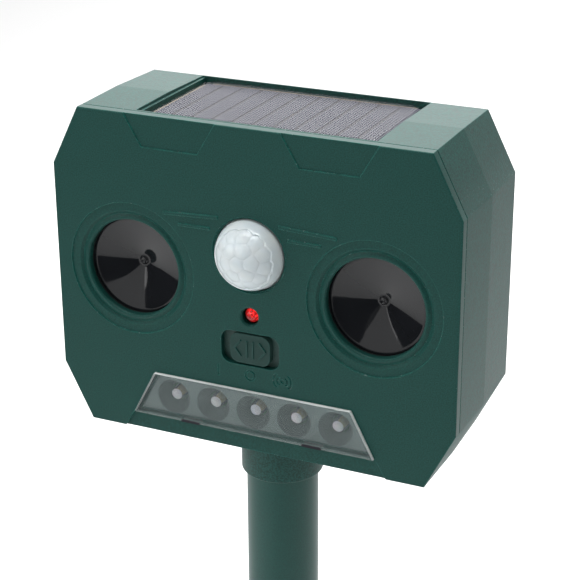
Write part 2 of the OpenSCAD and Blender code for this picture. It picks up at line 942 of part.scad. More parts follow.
module step_up_coils() {
    top = board_depth + board_t;
    color([0.25, 0.24, 0.23])
        for (p = [[10, -13], [-12, -1.5]])
            at_face(p[0], p[1], top)
                rotate_extrude($fn = round_fn)
                    polygon([
                        [0, 0], [3.6, 0], [3.6, 1], [2.6, 1.4],
                        [2.6, 5.4], [3.6, 5.8], [3.6, 6.8], [0, 6.8]
                    ]);
}

module board_screws() {
    color([0.6, 0.6, 0.62]) {
        for (p = board_posts)
            small_screw(p[0], p[1], board_depth + board_t, 7);
        for (p = lamp_posts)
            small_screw(p[0], p[1], lamp_board_depth + lamp_board_t, 6);
    }
}

module battery_cells() {
    color([0.2, 0.5, 0.3])
        for (row = cell_rows)
            translate([0, cell_y, cell_z(row)])
                rotate([0, 90 * cell_dir(row), 0]) {
                    translate([0, 0, cell_foot_x])
                        cylinder(h = cell_len, r = cell_r, $fn = round_fn);
                    translate([0, 0, cell_tip_x - nipple_len])
                        cylinder(h = nipple_len, r = nipple_r, $fn = round_fn);
                }
}

// One contact strip at the +X or -X end, spanning rows a to b
module contact_strip(side, a, b) {
    x0 = side > 0 ? box_half_w - contact_t : -box_half_w;
    translate([x0, cell_y - contact_w / 2, cell_z(a) - contact_w / 2])
        cube([contact_t, contact_w, cell_z(b) - cell_z(a) + contact_w]);
}

// Solder tail that brings a contact out through the front wall of the battery box
module contact_tail(side, row) {
    translate([side * (box_half_w - contact_t / 2), (tail_y + cell_y) / 2, cell_z(row)])
        cube([contact_t, cell_y - tail_y, tail_w], center = true);
}

module battery_contacts() {
    color([0.78, 0.78, 0.76]) {
        contact_strip(1, -1, 0);
        contact_strip(1, 1, 1);
        contact_tail(1, 1);
        contact_strip(-1, -1, -1);
        contact_tail(-1, -1);
        contact_strip(-1, 0, 1);
    }
}

module battery_springs() {
    length = cell_foot_x + cell_tip_x - 2 * spring_wire;
    color([0.82, 0.82, 0.8])
        for (row = cell_rows)
            translate([0, cell_y, cell_z(row)])
                rotate([0, 90 * cell_dir(row), 0])
                    translate([0, 0, -cell_tip_x + spring_wire])
                        tube_along([
                            for (i = [0 : spring_turns * spring_steps])
                                let (a = 360 * i / spring_steps)
                                let (t = i / (spring_turns * spring_steps))
                                let (r = spring_wide_r + (spring_narrow_r - spring_wide_r) * t)
                                [r * cos(a), r * sin(a), length * t]
                        ], spring_wire, [0, 0, 1]);
}

module battery_leads() {
    tail_x = box_half_w - contact_t / 2;
    color("red")
        lead(concat(
            lead_start(tail_x, tail_y, cell_z(1) - head_z, -1),
            [[27, -0.5, 12.5], [22, -2.5, 16], [16.5, -5.5, 20]],
            lead_end(13, board_back_y, 22)
        ), [0, 0, 1]);
    color([0.1, 0.1, 0.1])
        lead(concat(
            lead_start(-tail_x, tail_y, cell_z(-1) - head_z, -1),
            [[-27, -0.5, -20], [-23, -3, -19.5], [-19.5, -6, -20]],
            lead_end(-18, board_back_y, -20)
        ), [0, 0, 1]);
}

module battery_door() {
    color([0.09, 0.27, 0.21])
        difference() {
            union() {
                head_box(-door_half_w, door_half_w, door_y, back_y,
                         box_mid_z - door_half_h, box_mid_z + door_half_h);
                translate([0, pivot_y, pivot_z])
                    rotate([0, 90, 0])
                        cylinder(h = 2 * door_half_w, r = door_t / 2, center = true, $fn = round_fn);
                translate([0, pivot_y, pivot_z])
                    rotate([0, 90, 0])
                        cylinder(h = 2 * (door_half_w + pivot_len), r = pivot_r,
                                 center = true, $fn = round_fn);
                head_box(-5, 5, back_y - 2.6, back_y, box_mid_z + door_half_h - 0.5,
                         box_mid_z + door_half_h + 2);
            }
            for (side = [-1, 1])
                head_box(side * 6.2 - 0.5, side * 6.2 + 0.5, back_y - 4, back_y + 1,
                         box_mid_z + door_half_h - 7, box_mid_z + door_half_h + 1);
            for (i = [0 : 4])
                head_box(-grip_half_w, grip_half_w, back_y - 0.4, back_y + 1,
                         grip_top - 1 - grip_pitch * i, grip_top - grip_pitch * i);
        }
}

// Solid round bar with a small chamfer at both ends
module chamfered_bar(length) {
    rotate_extrude($fn = round_fn)
        polygon([
            [0, 0], [tube_r - tube_chamfer, 0], [tube_r, tube_chamfer], [tube_r, length - tube_chamfer],
            [tube_r - tube_chamfer, length], [0, length]
        ]);
}

module stake_upper_tube() {
    color([0.08, 0.25, 0.19])
        translate([0, 0, tube_len])
            difference() {
                chamfered_bar(head_z + socket_roof - socket_play - tube_len);
                translate([0, 0, -1])
                    cylinder(h = far, r = tube_r - tube_wall, $fn = round_fn);
            }
}

module stake_lower_tube() {
    color([0.08, 0.25, 0.19])
        difference() {
            union() {
                chamfered_bar(tube_len);
                cylinder(h = tube_len + spigot_len, r = tube_r - tube_wall - spigot_gap, $fn = round_fn);
            }
            translate([0, 0, -1])
                cylinder(h = spigot_len + spigot_room + 1, r = tube_r - tube_wall, $fn = round_fn);
            cylinder(h = far, r = tube_r - 2 * tube_wall - spigot_gap, $fn = round_fn);
        }
}

module ground_spike() {
    vane_w = tube_r - vane_inset;
    vane_top = -spike_flange_t / 2;
    shoulder = -vane_shoulder * spike_len;
    color([0.08, 0.25, 0.19]) {
        cylinder(h = spigot_len, r = tube_r - tube_wall - spigot_gap, $fn = round_fn);
        translate([0, 0, -spike_flange_t])
            cylinder(h = spike_flange_t, r = tube_r - tube_chamfer, $fn = round_fn);
        for (a = [0, 90])
            rotate(a)
                rotate([90, 0, 0])
                    translate([0, 0, -vane_t / 2])
                        linear_extrude(vane_t)
                            polygon([
                                [-vane_w, vane_top], [vane_w, vane_top], [vane_w, shoulder],
                                [spike_tip_half_w, -spike_len], [-spike_tip_half_w, -spike_len],
                                [-vane_w, shoulder]
                            ]);
    }
}

front_cover();
rear_housing();
housing_gasket();
housing_screws();
solar_board();
solar_cells();
solar_resin();
solar_leads();
pir_lens();
pir_sensor();
indicator_led();
switch_slider();
switch_lever();
switch_body();
lamp_window();
lamp_reflector();
lamp_leds();
lamp_board();
lamp_leads();
speaker_cone(-1);  // speaker_cone_left
speaker_cone(1);  // speaker_cone_right
speaker_frame(-1);  // speaker_frame_left
speaker_frame(1);  // speaker_frame_right
speaker_piezo(-1);  // speaker_piezo_left
speaker_piezo(1);  // speaker_piezo_right
speaker_screws();
speaker_leads();
main_board();
controller_chip();
capacitors();
step_up_coils();
board_screws();
battery_cells();
battery_contacts();
battery_springs();
battery_leads();
battery_door();
stake_upper_tube();
stake_lower_tube();
ground_spike();
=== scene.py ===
import json
import math

import bmesh
import bpy
import numpy as np
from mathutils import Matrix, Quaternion, Vector, noise


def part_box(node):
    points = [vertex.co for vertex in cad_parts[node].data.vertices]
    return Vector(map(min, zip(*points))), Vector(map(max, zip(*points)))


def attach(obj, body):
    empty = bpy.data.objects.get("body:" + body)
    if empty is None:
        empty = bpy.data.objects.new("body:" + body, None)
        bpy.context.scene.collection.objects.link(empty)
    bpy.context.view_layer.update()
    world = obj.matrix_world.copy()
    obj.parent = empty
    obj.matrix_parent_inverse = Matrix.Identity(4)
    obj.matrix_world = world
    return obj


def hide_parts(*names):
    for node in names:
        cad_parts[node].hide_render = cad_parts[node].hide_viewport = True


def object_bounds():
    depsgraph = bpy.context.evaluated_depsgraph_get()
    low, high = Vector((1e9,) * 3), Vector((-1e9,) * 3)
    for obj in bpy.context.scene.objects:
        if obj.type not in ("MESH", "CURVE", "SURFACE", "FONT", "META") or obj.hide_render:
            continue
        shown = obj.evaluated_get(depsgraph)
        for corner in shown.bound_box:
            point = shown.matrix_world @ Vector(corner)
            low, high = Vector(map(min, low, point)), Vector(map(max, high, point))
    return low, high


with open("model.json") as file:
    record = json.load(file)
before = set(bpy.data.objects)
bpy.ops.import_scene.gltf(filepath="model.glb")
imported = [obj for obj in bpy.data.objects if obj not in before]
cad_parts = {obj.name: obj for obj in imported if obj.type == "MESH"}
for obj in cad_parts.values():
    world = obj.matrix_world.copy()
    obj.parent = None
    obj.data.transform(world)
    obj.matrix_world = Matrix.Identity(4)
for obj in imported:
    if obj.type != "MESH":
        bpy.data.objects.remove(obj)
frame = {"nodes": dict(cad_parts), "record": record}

CAD_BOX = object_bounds()
SCENE = bpy.context.scene
NODES = frame["nodes"]
MM = 0.001
BODY_OF = {node: body for body, nodes in frame["record"]["behaviour"]["bodies"].items() for node in nodes}
SLOT_OF = {part["node"]: part["material_slot"] for part in frame["record"]["subparts"]}


# ---------------------------------------------------------------- places taken from the frame

def centre(node):
    low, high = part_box(node)
    return (low + high) / 2


RIB_RISE = 0.4 * MM
FACE_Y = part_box("front_cover")[0].y + RIB_RISE
HEAD = Vector((0, 0, centre("front_cover").z))
HALF_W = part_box("rear_housing")[1].x
HALF_H = CAD_BOX[1].z - HEAD.z
CREST_Y = max(NODES["rear_housing"].data.vertices, key=lambda vertex: vertex.co.x).co.y


# ---------------------------------------------------------------- node graphs

class Graph:
    """A material's node graph, with short calls for the nodes used here."""

    def __init__(self, name):
        self.material = bpy.data.materials.new(name)
        self.material.use_nodes = True
        self.tree = self.material.node_tree
        self.shader = self.tree.nodes["Principled BSDF"]
        self.place = self.add("ShaderNodeTexCoord").outputs["Object"]

    def add(self, kind, values=None, **settings):
        node = self.tree.nodes.new(kind)
        for key, value in settings.items():
            setattr(node, key, value)
        for key, value in (values or {}).items():
            self.put(node.inputs[key], value)
        return node

    def put(self, socket, value):
        if isinstance(value, bpy.types.NodeSocket):
            self.tree.links.new(value, socket)
        else:
            socket.default_value = value

    def surface(self, **values):
        """Sets sockets of the Principled shader; underscores stand for spaces."""
        for key, value in values.items():
            self.put(self.shader.inputs[key.replace("_", " ")], value)

    def math(self, operation, a, b=0.0):
        return self.add("ShaderNodeMath", {0: a, 1: b}, operation=operation).outputs[0]

    def noise(self, scale, detail=2.0, roughness=0.5, place=None):
        values = {"Vector": place or self.place, "Scale": scale, "Detail": detail, "Roughness": roughness}
        return self.add("ShaderNodeTexNoise", values).outputs["Fac"]

    def stretched(self, factors):
        values = {0: self.place, 1: factors}
        return self.add("ShaderNodeVectorMath", values, operation="MULTIPLY").outputs[0]

    def ramp(self, value, low, high, to_low=0.0, to_high=1.0):
        values = {"Value": value, "From Min": low, "From Max": high, "To Min": to_low, "To Max": to_high}
        return self.add("ShaderNodeMapRange", values).outputs["Result"]

    def mix(self, factor, a, b):
        node = self.add("ShaderNodeMix", data_type="RGBA")
        self.put(node.inputs["Factor"], factor)
        self.put(node.inputs[6], a)
        self.put(node.inputs[7], b)
        return node.outputs[2]

    def bump(self, height, distance, strength):
        values = {"Height": height, "Distance": distance, "Strength": strength}
        return self.add("ShaderNodeBump", values).outputs["Normal"]

    def edges(self, radius):
        """1 on convex and concave edges, 0 on flat ground."""
        rounded = self.add("ShaderNodeBevel", {"Radius": radius}, samples=4).outputs[0]
        flat = self.add("ShaderNodeNewGeometry").outputs["True Normal"]
        dot = self.add("ShaderNodeVectorMath", {0: rounded, 1: flat}, operation="DOT_PRODUCT").outputs["Value"]
        return self.ramp(dot, 0.98, 0.85)


def shade(colour, factor):
    return tuple(channel * factor for channel in colour[:3]) + (1.0,)


# ---------------------------------------------------------------- materials

PALE_NICK = (0.40, 0.46, 0.45, 1)


def moulded(name, colour, roughness, grain, depth, specular, edge_light_level=0.5, nicks=0.0, speckle=0.12):
    """Moulded plastic: faint flow mottling, a painted highlight along its edges broken up by rubs, pale nicks on
    the edges, and a fine grain. The grain has that many noise cells in a metre, and depth is its height in mm."""
    g = Graph(name)
    mottle = g.noise(55.0, 4.0)
    rubs = g.noise(700.0, 3.0, 0.6, g.stretched((1.0, 0.5, 1.6)))
    fine = g.noise(grain, 2.0, 0.6)
    edges = g.edges(0.5 * MM)
    base = g.mix(g.ramp(mottle, 0.3, 0.7), shade(colour, 0.93 - speckle), shade(colour, 0.98 - speckle))
    base = g.mix(g.ramp(fine, 0.38, 0.62), base, shade(colour, 0.95 + speckle))
    # Edges are lightened towards three times the colour as a painted highlight, broken up by the rubs noise.
    painted_edge_light = g.math("MULTIPLY", edges, g.ramp(rubs, 0.25, 0.55))
    base = g.mix(g.math("MULTIPLY", painted_edge_light, edge_light_level * 0.5), base, shade(colour, 3.2))
    if nicks:
        nicked = g.math("MULTIPLY", edges, g.ramp(g.noise(1300.0, 1.0), 0.68, 0.71))
        base = g.mix(g.math("MULTIPLY", nicked, nicks), base, PALE_NICK)
    height = g.math("ADD", fine, g.math("MULTIPLY", g.noise(grain * 0.28, 2.0), 0.6))
    dullness = g.math("ADD", fine, g.math("MULTIPLY", rubs, 0.25))
    g.surface(
        Base_Color=base,
        Roughness=g.ramp(dullness, 0.3, 0.95, roughness - 0.04, roughness + 0.05),
        Specular_IOR_Level=specular,
        Normal=g.bump(height, depth * MM, 0.6),
    )
    return g.material


def metal(name, colour, roughness):
    """Brushed metal with fine lines across Z and duller spots."""
    g = Graph(name)
    lines = g.noise(900.0, 3.0, 0.6, g.stretched((1.0, 1.0, 12.0)))
    spots = g.noise(400.0, 2.0)
    g.surface(
        Base_Color=g.mix(g.ramp(spots, 0.4, 0.75), colour, shade(colour, 0.75)),
        Metallic=1.0,
        Roughness=g.ramp(lines, 0.2, 0.8, roughness - 0.08, roughness + 0.12),
        Normal=g.bump(lines, 0.01 * MM, 0.5),
    )
    return g.material


def rubber(name):
    g = Graph(name)
    fine = g.noise(1800.0, 3.0)
    g.surface(
        Base_Color=g.mix(fine, (0.008, 0.009, 0.009, 1), (0.02, 0.021, 0.021, 1)),
        Roughness=g.ramp(fine, 0.2, 0.8, 0.6, 0.8),
        Normal=g.bump(fine, 0.03 * MM, 0.5),
    )
    return g.material


def circuit_board(name):
    """Green solder mask over faint copper tracks."""
    g = Graph(name)
    cells = g.add("ShaderNodeTexBrick", {"Vector": g.place, "Scale": 220.0, "Mortar Size": 0.03})
    tracks = g.ramp(cells.outputs["Fac"], 0.2, 0.8)
    fibre = g.noise(1500.0, 2.0)
    mask = g.mix(fibre, (0.005, 0.07, 0.02, 1), (0.008, 0.1, 0.03, 1))
    g.surface(
        Base_Color=g.mix(g.math("MULTIPLY", tracks, 0.6), mask, (0.03, 0.22, 0.07, 1)),
        Roughness=g.ramp(fibre, 0.2, 0.8, 0.25, 0.4),
        Normal=g.bump(g.math("ADD", tracks, g.math("MULTIPLY", fibre, 0.2)), 0.02 * MM, 0.6),
    )
    return g.material


def panel_edge(name):
    """Resin-bound board, beige, with its cut fibres."""
    g = Graph(name)
    fibre = g.noise(1200.0, 4.0, 0.65, g.stretched((1, 1, 8)))
    stain = g.noise(160.0, 3.0)
    base = g.mix(fibre, (0.30, 0.22, 0.13, 1), (0.52, 0.42, 0.28, 1))
    g.surface(
        Base_Color=g.mix(g.ramp(stain, 0.5, 0.8, 0.0, 0.6), base, (0.16, 0.11, 0.07, 1)),
        Roughness=0.6,
        Normal=g.bump(fibre, 0.05 * MM, 0.5),
    )
    return g.material


def silicon(name):
    """Dark cell strip with faint crystals. Its gloss comes from the resin over it."""
    g = Graph(name)
    cells = g.add("ShaderNodeTexVoronoi", {"Vector": g.place, "Scale": 260.0}).outputs["Distance"]
    fine = g.noise(700.0, 2.0)
    base = g.mix(g.ramp(cells, 0.1, 0.7), (0.058, 0.057, 0.076, 1), (0.070, 0.068, 0.090, 1))
    g.surface(
        Base_Color=g.mix(g.math("MULTIPLY", fine, 0.2), base, (0.10, 0.097, 0.12, 1)),
        Roughness=g.ramp(fine, 0.2, 0.8, 0.5, 0.6),
        Specular_IOR_Level=0.0,
        Normal=g.bump(fine, 0.003 * MM, 0.3),
    )
    return g.material


def clear(name, tint, alpha, roughness, specular=0.5, waviness=120.0, depth=0.02):
    """Clear plastic or resin, with a slightly uneven surface."""
    g = Graph(name)
    wave = g.noise(waviness, 3.0)
    specks = g.ramp(g.noise(1600.0, 2.0), 0.68, 0.8)
    g.surface(
        Base_Color=g.mix(specks, tint, shade(tint, 1.6)),
        Alpha=g.ramp(wave, 0.3, 0.7, alpha * 0.94, alpha * 1.06),
        Roughness=g.ramp(wave, 0.3, 0.7, roughness * 0.85, roughness * 1.2),
        Specular_IOR_Level=specular,
        Normal=g.bump(wave, depth * MM, 0.5),
    )
    return g.material


def milky(name):
    """Thin white polyethylene that light soaks into."""
    g = Graph(name)
    cloud = g.noise(180.0, 3.0)
    fine = g.noise(2600.0, 2.0)
    g.surface(
        Base_Color=g.mix(g.ramp(cloud, 0.35, 0.7), (0.63, 0.71, 0.74, 1), (0.68, 0.735, 0.74, 1)),
        Subsurface_Weight=0.35,
        Subsurface_Radius=(1.0, 1.0, 0.9),
        Subsurface_Scale=1.5 * MM,
        Roughness=g.ramp(fine, 0.2, 0.8, 0.10, 0.16),
        Specular_IOR_Level=0.4,
        Normal=g.bump(fine, 0.004 * MM, 0.3),
    )
    return g.material


def lacquer(name):
    """Glossy black film of the speaker cones, with a little dust."""
    g = Graph(name)
    fine = g.noise(900.0, 3.0)
    dust = g.ramp(g.noise(1500.0, 2.0, 0.7), 0.7, 0.82)
    g.surface(
        Base_Color=g.mix(dust, (0.010, 0.011, 0.013, 1), (0.05, 0.052, 0.056, 1)),
        Roughness=g.ramp(fine, 0.2, 0.8, 0.04, 0.08),
        Specular_IOR_Level=0.38,
        Normal=g.bump(fine, 0.006 * MM, 0.4),
    )
    return g.material


def lamp_plastic(name, colour, alpha=1.0):
    """Slightly cloudy epoxy of an unlit lamp."""
    g = Graph(name)
    cloud = g.noise(700.0, 2.0)
    g.surface(
        Base_Color=g.mix(cloud, shade(colour, 0.8), shade(colour, 1.15)),
        Subsurface_Weight=0.3,
        Subsurface_Scale=1.2 * MM,
        Roughness=g.ramp(cloud, 0.2, 0.8, 0.04, 0.1),
        Specular_IOR_Level=0.7,
        Alpha=alpha,
        Normal=g.bump(cloud, 0.01 * MM, 0.3),
    )
    return g.material


def indicator(name):
    """Clear red lens. Its colour and glow are painted light: dark on the lower left as painted shade, and a
    streaky glow growing towards the upper right as a painted highlight.
    """
    g = Graph(name)
    place = g.add("ShaderNodeSeparateXYZ", {0: g.place}).outputs
    middle = centre("indicator_led")
    across = g.math("ADD", g.math("SUBTRACT", place[0], middle.x), g.math("SUBTRACT", place[2], middle.z))
    # A ramp from lower left to upper right: painted shade at one end and painted highlight at the other. The
    # streaks break up the painted highlight.
    upper_right_light = g.ramp(across, -2.0 * MM, 3.4 * MM)
    streaks = g.ramp(g.noise(1400.0, 2.0), 0.40, 0.62, 0.25, 1.0)
    g.surface(
        Base_Color=g.mix(upper_right_light, (0.02, 0.0, 0.001, 1), (0.10, 0.001, 0.001, 1)),
        Emission_Color=g.mix(g.math("MULTIPLY", upper_right_light, streaks), (0.004, 0.0, 0.0, 1), (1.0, 0.03, 0.03, 1)),
        Emission_Strength=1.7,
        Roughness=g.ramp(streaks, 0.2, 1.0, 0.02, 0.05),
        Specular_IOR_Level=0.4,
    )
    return g.material


def insulation(name):
    """Wire insulation, red in some places and black in others."""
    g = Graph(name)
    fine = g.noise(1300.0, 2.0)
    band = g.ramp(g.noise(45.0, 0.0), 0.49, 0.51)
    g.surface(
        Base_Color=g.mix(band, (0.30, 0.012, 0.010, 1), (0.012, 0.012, 0.013, 1)),
        Roughness=g.ramp(fine, 0.2, 0.8, 0.35, 0.5),
        Normal=g.bump(fine, 0.02 * MM, 0.5),
    )
    return g.material


def cell_wrap(name):
    """Battery wrap: a coloured sleeve with a pale band at each end."""
    g = Graph(name)
    along = g.add("ShaderNodeSeparateXYZ", {0: g.place}).outputs[0]
    scuff = g.noise(500.0, 3.0)
    end = g.math("GREATER_THAN", g.math("ABSOLUTE", along), 15.0 * MM)
    base = g.mix(end, (0.02, 0.16, 0.07, 1), (0.42, 0.43, 0.42, 1))
    g.surface(
        Base_Color=g.mix(g.ramp(scuff, 0.55, 0.8, 0.0, 0.5), base, (0.3, 0.3, 0.3, 1)),
        Roughness=g.ramp(scuff, 0.3, 0.8, 0.25, 0.45),
        Normal=g.bump(scuff, 0.02 * MM, 0.4),
    )
    return g.material


GREEN = (0.0060, 0.058, 0.048, 1)
# In these looks, the edge setting is how strongly edges are lightened as a painted highlight.
PLASTICS = {
    "cover_green": dict(colour=GREEN, roughness=0.44, grain=2400, depth=0.05, specular=0.2, edge_light_level=1.6, nicks=0.6,
                        speckle=0.22),
    "housing_green": dict(colour=GREEN, roughness=0.5, grain=1300, depth=0.16, specular=0.38, edge_light_level=0.8, nicks=0.8,
                          speckle=0.36),
    "housing_front_green": dict(colour=GREEN, roughness=0.5, grain=1700, depth=0.08, specular=0.28, edge_light_level=0.8,
                                nicks=0.8, speckle=0.35),
    "stake_green": dict(colour=shade(GREEN, 1.1), roughness=0.42, grain=2200, depth=0.01, specular=0.3),
    "switch_green": dict(colour=shade(GREEN, 0.7), roughness=0.48, grain=2600, depth=0.015, specular=0.32,
                         edge_light_level=1.2),
    "plate_green": dict(colour=(0.035, 0.085, 0.075, 1), roughness=0.5, grain=2400, depth=0.02, specular=0.4),
    "frame_black": dict(colour=(0.012, 0.012, 0.013, 1), roughness=0.5, grain=2200, depth=0.015, specular=0.4),
    "chip_black": dict(colour=(0.010, 0.010, 0.011, 1), roughness=0.55, grain=3500, depth=0.01, specular=0.4),
    "coil_ferrite": dict(colour=(0.035, 0.033, 0.032, 1), roughness=0.7, grain=1500, depth=0.04, specular=0.3),
    "capacitor_sleeve": dict(colour=(0.012, 0.02, 0.10, 1), roughness=0.3, grain=900, depth=0.01, specular=0.5),
    "switch_white": dict(colour=(0.72, 0.71, 0.67, 1), roughness=0.4, grain=2200, depth=0.01, specular=0.4,
                         edge_light_level=0.1),
    "reflector_grey": dict(colour=(0.12, 0.165, 0.16, 1), roughness=0.36, grain=2600, depth=0.01, specular=0.5,
                           edge_light_level=0.1),
    "cup_grey": dict(colour=(0.055, 0.072, 0.072, 1), roughness=0.4, grain=2400, depth=0.01, specular=0.4,
                     edge_light_level=0.1),
    "finger_silver": dict(colour=(0.29, 0.31, 0.36, 1), roughness=0.6, grain=2200, depth=0.005, specular=0.2,
                          edge_light_level=0.0),
    "panel_face": dict(colour=(0.055, 0.052, 0.066, 1), roughness=0.6, grain=1400, depth=0.01, specular=0.2,
                       edge_light_level=0.0),
    "slot_shadow": dict(colour=(0.018, 0.017, 0.024, 1), roughness=0.6, grain=1800, depth=0.01, specular=0.2,
                        edge_light_level=0.0),
}
METALS = {
    "screw_steel": dict(colour=(0.56, 0.56, 0.57, 1), roughness=0.32),
    "sensor_can": dict(colour=(0.62, 0.62, 0.63, 1), roughness=0.25),
    "switch_steel": dict(colour=(0.6, 0.6, 0.6, 1), roughness=0.35),
    "contact_nickel": dict(colour=(0.64, 0.63, 0.6, 1), roughness=0.3),
    "piezo_brass": dict(colour=(0.72, 0.52, 0.22, 1), roughness=0.3),
}
CLEAR_PARTS = {
    "panel_resin": dict(tint=(0.030, 0.030, 0.042, 1), alpha=0.17, roughness=0.2, specular=0.4, waviness=90,
                        depth=0.006),
    "window_clear": dict(tint=(0.24, 0.30, 0.30, 1), alpha=0.2, roughness=0.08, waviness=60),
    "window_edge": dict(tint=(0.95, 0.97, 0.96, 1), alpha=0.93, roughness=0.12),
    "window_haze": dict(tint=(0.40, 0.47, 0.46, 1), alpha=0.45, roughness=0.15),
}
LAMP_PLASTICS = {
    "lamp_white": dict(colour=(0.80, 0.80, 0.84, 1)),
    "lamp_body": dict(colour=(0.17, 0.18, 0.18, 1), alpha=0.8),
    "lamp_phosphor": dict(colour=(0.42, 0.34, 0.20, 1)),
}
SINGLE_LOOKS = {
    "gasket_black": rubber, "panel_edge": panel_edge, "cell_silicon": silicon, "lens_white": milky,
    "cone_black": lacquer, "led_red": indicator, "lead_insulation": insulation, "cell_wrap": cell_wrap,
    "board_green": circuit_board,
}
MATERIALS = {name: make(name) for name, make in SINGLE_LOOKS.items()}
for make, looks in ((moulded, PLASTICS), (metal, METALS), (clear, CLEAR_PARTS), (lamp_plastic, LAMP_PLASTICS)):
    MATERIALS.update({name: make(name, **look) for name, look in looks.items()})


# ---------------------------------------------------------------- pieces

def stand_for(piece, node):
    """The new piece moves with the node's body and is shown in its place, where the node is hidden."""
    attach(piece, BODY_OF[node])
    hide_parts(node)


def settle(piece, node, *materials):
    """Puts a new piece in its node's place, in its slot's material unless others are named."""
    for material in materials or [SLOT_OF[node]]:
        piece.data.materials.append(MATERIALS[material])
    stand_for(piece, node)


def new_piece(name, mesh_data):
    """An object from a bmesh, with its faces smooth up to 35 degrees."""
    mesh = bpy.data.meshes.new(name)
    mesh_data.normal_update()
    mesh_data.to_mesh(mesh)
    mesh_data.free()
    mesh.shade_smooth()
    mesh.set_sharp_from_angle(angle=math.radians(35))
    piece = bpy.data.objects.new(name, mesh)
    SCENE.collection.objects.link(piece)
    return piece


# The head's outline, with x and z in halves of its width and height: a corner is cut along the line
# x + CUT_SLOPE * z = CUT_REACH, and a point further out than OUTLINE_BAND is on the outline.
CUT_SLOPE = 0.39 / 0.786
CUT_REACH = 1.36
OUTLINE_BAND = 0.985
CORNER_ANGLE = math.radians(28)


def on_outline(edge, y):
    """True for an edge that runs round the head's outline at depth y."""
    for vertex in edge.verts:
        x, z = abs(vertex.co.x) / HALF_W, abs(vertex.co.z - HEAD.z) / HALF_H
        furthest = max(x, z, (x + CUT_SLOPE * z) / CUT_REACH)
        if abs(vertex.co.y - y) > 0.05 * MM or furthest < OUTLINE_BAND:
            return False
    return True


def round_edges(bm, edges, width, segments):
    bmesh.ops.bevel(bm, geom=edges, offset=width * MM, offset_type="OFFSET", segments=segments, profile=0.5,
                    affect="EDGES", clamp_overlap=True)


def refined(node, width, outline=0.0, outline_y=0.0, crease=None):
    """The CAD shape with its moulded edges rounded. The outline at depth outline_y is rounded more, and a crease
    is a depth at which a slight change of slope stays crisp."""
    bm = bmesh.new()
    bm.from_mesh(NODES[node].data)
    bmesh.ops.remove_doubles(bm, verts=bm.verts, dist=0.001 * MM)
    bmesh.ops.dissolve_limit(bm, angle_limit=math.radians(0.5), verts=bm.verts, edges=bm.edges)

    def corners():
        return [edge for edge in bm.edges if edge.is_manifold and edge.calc_face_angle(0) > CORNER_ANGLE]

    if outline:
        round_edges(bm, [edge for edge in corners() if on_outline(edge, outline_y)], outline, 4)
    bm.edges.index_update()
    runs = connected(corners())
    rooms = room_beside(runs)
    for run, room in zip(runs, rooms):
        alive = [edge for edge in run if edge.is_valid]
        if alive and room > 0.05 * MM:
            round_edges(bm, alive, min(width, 0.3 * room / MM), 2)
    piece = new_piece(node + "_moulded", bm)
    if crease is not None:
        sharp = piece.data.attributes.get("sharp_edge")
        sharp = sharp or piece.data.attributes.new("sharp_edge", "BOOLEAN", "EDGE")
        for edge in piece.data.edges:
            if all(abs(piece.data.vertices[k].co.y - crease) < 0.1 * MM for k in edge.vertices):
                sharp.data[edge.index].value = True
    flat = piece.modifiers.new("flat_faces", "WEIGHTED_NORMAL")
    flat.keep_sharp = True
    flat.weight = 80
    settle(piece, node)
    return piece


def connected(edges):
    """Edges grouped into runs that share corners, so that a tight corner limits only its own run. Both the runs
    and the edges in them keep the mesh's own order."""
    waiting = {edge.index: edge for edge in edges}
    runs = []
    while waiting:
        first = next(iter(waiting))
        run, front = [], [waiting.pop(first)]
        while front:
            edge = front.pop()
            run.append(edge)
            for vertex in edge.verts:
                for other in vertex.link_edges:
                    if other.index in waiting:
                        front.append(waiting.pop(other.index))
        runs.append(sorted(run, key=lambda edge: edge.index))
    return runs


def room_beside(runs):
    """The least distance from each run of edges to any corner of another run, or from its corners to their edges,
    so that rounded edges never meet across a narrow strip."""
    starts, ends, owners = [], [], []
    for number, run in enumerate(runs):
        for edge in run:
            starts.append(edge.verts[0].co[:])
            ends.append(edge.verts[1].co[:])
            owners.append(number)
    starts, ends, owners = np.array(starts), np.array(ends), np.array(owners)
    along = ends - starts
    length_squared = np.maximum((along ** 2).sum(1), 1e-18)
    rooms = np.full(len(runs), 1.0)
    for k, corner in enumerate(starts):
        share = np.clip(((corner - starts) * along).sum(1) / length_squared, 0, 1)
        gap = np.linalg.norm(starts + share[:, None] * along - corner, axis=1)
        gap[owners == owners[k]] = 1.0
        nearest = gap.min()
        other = owners[gap.argmin()]
        rooms[owners[k]] = min(rooms[owners[k]], nearest)
        rooms[other] = min(rooms[other], nearest)
    return rooms.tolist()


def lathe(name, profile, x, z, segments, displace=None):
    """A turned shape about an axis that runs back from the face; profile is (radius, depth) in mm."""
    bm = bmesh.new()
    rows = []
    for radius, depth in profile:
        row = []
        count = 1 if radius < 1e-6 else segments
        for k in range(count):
            turn = 2 * math.pi * k / segments
            r, d = (radius, depth) if displace is None else displace(radius, depth, turn)
            row.append(bm.verts.new((x + r * MM * math.cos(turn), FACE_Y + d * MM, z + r * MM * math.sin(turn))))
        rows.append(row)
    for a, b in zip(rows, rows[1:]):
        for k in range(segments):
            n = (k + 1) % segments
            corners = [a[k % len(a)], a[n % len(a)], b[n % len(b)], b[k % len(b)]]
            unique = list(dict.fromkeys(corners))
            if len(unique) > 2:
                bm.faces.new(unique)
    bmesh.ops.recalc_face_normals(bm, faces=bm.faces)
    return new_piece(name, bm)


def arc(cx, cy, radius, start, end, steps):
    """Points of an arc in a profile, angles in degrees from the axis."""
    turns = [math.radians(start + (end - start) * i / steps) for i in range(steps + 1)]
    return [(cx + radius * math.sin(t), cy - radius * math.cos(t)) for t in turns]


# ---------------------------------------------------------------- sensor dome

